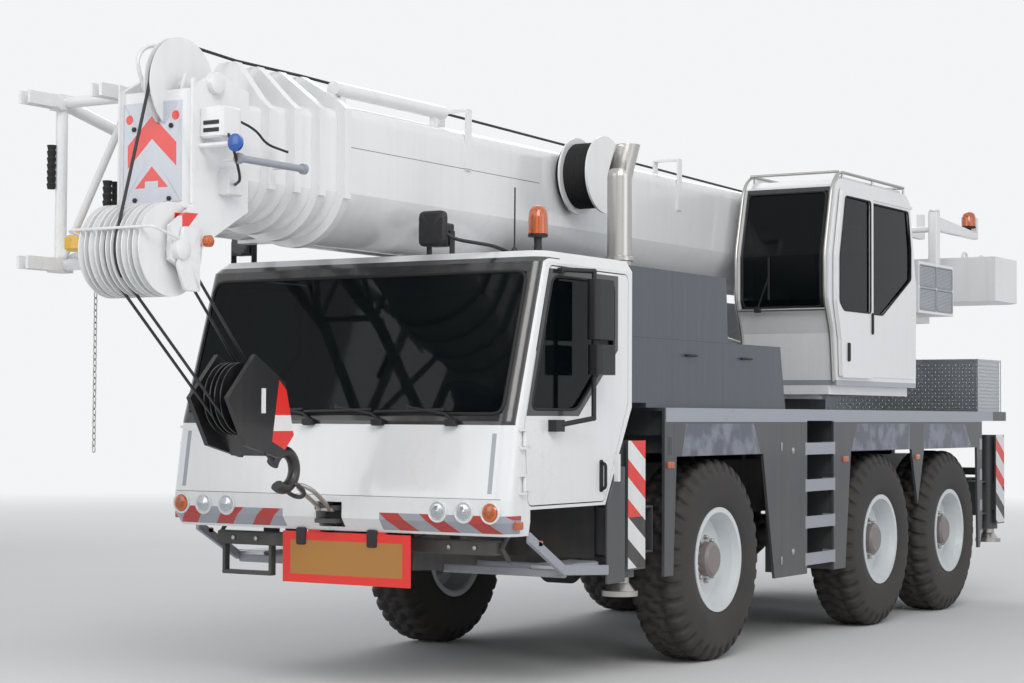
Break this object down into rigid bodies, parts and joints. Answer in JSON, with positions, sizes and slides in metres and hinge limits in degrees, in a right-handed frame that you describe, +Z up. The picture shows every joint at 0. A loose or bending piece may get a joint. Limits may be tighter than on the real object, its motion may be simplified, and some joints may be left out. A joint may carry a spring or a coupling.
{
  "type": "mobile crane",
  "caption": "All-terrain telescopic mobile crane in travel order: boom lowered over the driver's cab, lattice jib stowed alongside, hook tied to the front coupling.",
  "frame": {"origin": "on the ground at the middle of the overall length and width", "axes": "+X forward, +Y to the vehicle's left, +Z up"},
  "size_m": [11.2099, 2.86, 3.6948],
  "materials": {
    "white_paint": "gloss paint",
    "grey_paint": "satin dark grey paint",
    "frame_paint": "satin paint",
    "tyre_rubber": "matt rubber",
    "rim_paint": "gloss paint",
    "glass": "tinted glass",
    "interior_plastic": "grained plastic",
    "steel": "bare steel",
    "chrome": "polished",
    "tread_plate": "chequer plate",
    "sign_plate": "reflective sheet",
    "black_metal": "black paint",
    "mirror_plastic": "black plastic"
  },
  "bodies": {
    "carrier": {"chassis_frame": "frame_paint", "side_decks": "grey_paint", "cab_shell": "white_paint", "cab_glass": "glass", "cab_interior": "interior_plastic", "engine_hood": "grey_paint", "exhaust_stack": "steel", "storage_box": "tread_plate", "front_sign": "sign_plate", "axle_beams": "frame_paint"},
    "superstructure": {"turntable_frame": "white_paint", "counterweight": "white_paint", "crane_cab_shell": "white_paint", "crane_cab_glass": "glass", "crane_cab_interior": "interior_plastic"},
    "crane_cab_door": {"crane_cab_door": "white_paint", "crane_cab_door_glass": "glass"},
    "boom_base": {"boom_base": "white_paint", "stowed_jib": "white_paint"},
    "boom_head": {"boom_head": "white_paint"},
    "hook_block": {"hook_block": "black_metal"},
    "luff_barrel": {"luff_barrel": "white_paint"},
    "luff_rod": {"luff_rod": "chrome"},
    "boom_section_1": {"boom_section_1": "white_paint"},
    "boom_section_2": {"boom_section_2": "white_paint"},
    "boom_section_3": {"boom_section_3": "white_paint"},
    "door_left": {"door_left": "white_paint", "door_glass_left": "glass", "mirrors_left": "mirror_plastic"},
    "knuckle_1_left": {"knuckle_1_left": "black_metal"},
    "wheel_1_left": {"tyre_1_left": "tyre_rubber", "rim_1_left": "rim_paint"},
    "knuckle_2_left": {"knuckle_2_left": "black_metal"},
    "wheel_2_left": {"tyre_2_left": "tyre_rubber", "rim_2_left": "rim_paint"},
    "knuckle_3_left": {"knuckle_3_left": "black_metal"},
    "wheel_3_left": {"tyre_3_left": "tyre_rubber", "rim_3_left": "rim_paint"},
    "door_right": {"door_right": "white_paint", "door_glass_right": "glass", "mirrors_right": "mirror_plastic"},
    "knuckle_1_right": {"knuckle_1_right": "black_metal"},
    "wheel_1_right": {"tyre_1_right": "tyre_rubber", "rim_1_right": "rim_paint"},
    "knuckle_2_right": {"knuckle_2_right": "black_metal"},
    "wheel_2_right": {"tyre_2_right": "tyre_rubber", "rim_2_right": "rim_paint"},
    "knuckle_3_right": {"knuckle_3_right": "black_metal"},
    "wheel_3_right": {"tyre_3_right": "tyre_rubber", "rim_3_right": "rim_paint"},
    "outrigger_front_left": {"outrigger_front_left": "grey_paint"},
    "jack_front_left": {"jack_front_left": "steel"},
    "outrigger_front_right": {"outrigger_front_right": "grey_paint"},
    "jack_front_right": {"jack_front_right": "steel"},
    "outrigger_rear_left": {"outrigger_rear_left": "grey_paint"},
    "jack_rear_left": {"jack_rear_left": "steel"},
    "outrigger_rear_right": {"outrigger_rear_right": "grey_paint"},
    "jack_rear_right": {"jack_rear_right": "steel"}
  },
  "joints": [
    {"name": "steer_1_left", "type": "hinge", "parent": "carrier", "child": "knuckle_1_left", "pos_m": [0.905, 0.87, 0.685], "axis": [0, 0, 1], "range_deg": [-35, 35]},
    {"name": "wheel_1_left", "type": "hinge", "parent": "knuckle_1_left", "child": "wheel_1_left", "pos_m": [0.905, 1.25, 0.685], "axis": [0, 1, 0], "continuous": true},
    {"name": "steer_1_right", "type": "hinge", "parent": "carrier", "child": "knuckle_1_right", "pos_m": [0.905, -0.87, 0.685], "axis": [0, 0, 1], "range_deg": [-35, 35]},
    {"name": "wheel_1_right", "type": "hinge", "parent": "knuckle_1_right", "child": "wheel_1_right", "pos_m": [0.905, -1.25, 0.685], "axis": [0, 1, 0], "continuous": true},
    {"name": "steer_2_left", "type": "hinge", "parent": "carrier", "child": "knuckle_2_left", "pos_m": [-2.035, 0.87, 0.685], "axis": [0, 0, 1], "range_deg": [-18, 18]},
    {"name": "wheel_2_left", "type": "hinge", "parent": "knuckle_2_left", "child": "wheel_2_left", "pos_m": [-2.035, 1.25, 0.685], "axis": [0, 1, 0], "continuous": true},
    {"name": "steer_2_right", "type": "hinge", "parent": "carrier", "child": "knuckle_2_right", "pos_m": [-2.035, -0.87, 0.685], "axis": [0, 0, 1], "range_deg": [-18, 18]},
    {"name": "wheel_2_right", "type": "hinge", "parent": "knuckle_2_right", "child": "wheel_2_right", "pos_m": [-2.035, -1.25, 0.685], "axis": [0, 1, 0], "continuous": true},
    {"name": "steer_3_left", "type": "hinge", "parent": "carrier", "child": "knuckle_3_left", "pos_m": [-3.625, 0.87, 0.685], "axis": [0, 0, 1], "range_deg": [-15, 15]},
    {"name": "wheel_3_left", "type": "hinge", "parent": "knuckle_3_left", "child": "wheel_3_left", "pos_m": [-3.625, 1.25, 0.685], "axis": [0, 1, 0], "continuous": true},
    {"name": "steer_3_right", "type": "hinge", "parent": "carrier", "child": "knuckle_3_right", "pos_m": [-3.625, -0.87, 0.685], "axis": [0, 0, 1], "range_deg": [-15, 15]},
    {"name": "wheel_3_right", "type": "hinge", "parent": "knuckle_3_right", "child": "wheel_3_right", "pos_m": [-3.625, -1.25, 0.685], "axis": [0, 1, 0], "continuous": true},
    {"name": "door_left_hinge", "type": "hinge", "parent": "carrier", "child": "door_left", "pos_m": [3.49, 1.264, 1.39], "axis": [0, 0, -1], "range_deg": [0, 70]},
    {"name": "door_right_hinge", "type": "hinge", "parent": "carrier", "child": "door_right", "pos_m": [3.49, -1.264, 1.39], "axis": [0, 0, 1], "range_deg": [0, 70]},
    {"name": "outrigger_front_left_slide", "type": "slide", "parent": "carrier", "child": "outrigger_front_left", "axis": [0, 1, 0], "range_m": [0, 1.75]},
    {"name": "jack_front_left_slide", "type": "slide", "parent": "outrigger_front_left", "child": "jack_front_left", "axis": [0, 0, -1], "range_m": [0, 0.6]},
    {"name": "outrigger_front_right_slide", "type": "slide", "parent": "carrier", "child": "outrigger_front_right", "axis": [0, -1, 0], "range_m": [0, 1.75]},
    {"name": "jack_front_right_slide", "type": "slide", "parent": "outrigger_front_right", "child": "jack_front_right", "axis": [0, 0, -1], "range_m": [0, 0.6]},
    {"name": "outrigger_rear_left_slide", "type": "slide", "parent": "carrier", "child": "outrigger_rear_left", "axis": [0, 1, 0], "range_m": [0, 1.75]},
    {"name": "jack_rear_left_slide", "type": "slide", "parent": "outrigger_rear_left", "child": "jack_rear_left", "axis": [0, 0, -1], "range_m": [0, 0.6]},
    {"name": "outrigger_rear_right_slide", "type": "slide", "parent": "carrier", "child": "outrigger_rear_right", "axis": [0, -1, 0], "range_m": [0, 1.75]},
    {"name": "jack_rear_right_slide", "type": "slide", "parent": "outrigger_rear_right", "child": "jack_rear_right", "axis": [0, 0, -1], "range_m": [0, 0.6]},
    {"name": "slew", "type": "hinge", "parent": "carrier", "child": "superstructure", "pos_m": [-2.045, 0, 1.8], "axis": [0, 0, 1], "continuous": true},
    {"name": "crane_cab_door_slide", "type": "slide", "parent": "superstructure", "child": "crane_cab_door", "axis": [-1, 0, 0], "range_m": [0, 0.65]},
    {"name": "boom_luff", "type": "hinge", "parent": "superstructure", "child": "boom_base", "pos_m": [-4.695, 0, 3], "axis": [0, -1, 0], "range_deg": [0, 82]},
    {"name": "luff_barrel_swing", "type": "hinge", "parent": "superstructure", "child": "luff_barrel", "pos_m": [-2.695, 0, 2.085], "axis": [0, -1, 0], "range_deg": [0, 90.14]},
    {"name": "luff_rod_slide", "type": "slide", "parent": "luff_barrel", "child": "luff_rod", "axis": [0.9938, 0, 0.1109], "range_m": [0, 2.8135]},
    {"name": "telescope_1", "type": "slide", "parent": "boom_base", "child": "boom_section_1", "axis": [1, 0, 0], "range_m": [0, 7.4]},
    {"name": "telescope_2", "type": "slide", "parent": "boom_section_1", "child": "boom_section_2", "axis": [1, 0, 0], "range_m": [0, 7.4]},
    {"name": "telescope_3", "type": "slide", "parent": "boom_section_2", "child": "boom_section_3", "axis": [1, 0, 0], "range_m": [0, 7.4]},
    {"name": "telescope_4", "type": "slide", "parent": "boom_section_3", "child": "boom_head", "axis": [1, 0, 0], "range_m": [0, 7.4]},
    {"name": "hook_swing", "type": "hinge", "parent": "boom_head", "child": "hook_block", "pos_m": [5.355, 0, 2.52], "axis": [0, -1, 0], "range_deg": [0, 46]}
  ],
  "couplings": [
    {"joint": "steer_1_right", "follows": "steer_1_left", "ratio": 1},
    {"joint": "steer_2_right", "follows": "steer_2_left", "ratio": 1},
    {"joint": "steer_3_right", "follows": "steer_3_left", "ratio": 1},
    {"joint": "luff_barrel_swing", "follows": "boom_luff", "ratio": 1.0932},
    {"joint": "luff_rod_slide", "follows": "boom_luff", "m_per_rad": 1.9589}
  ]
}
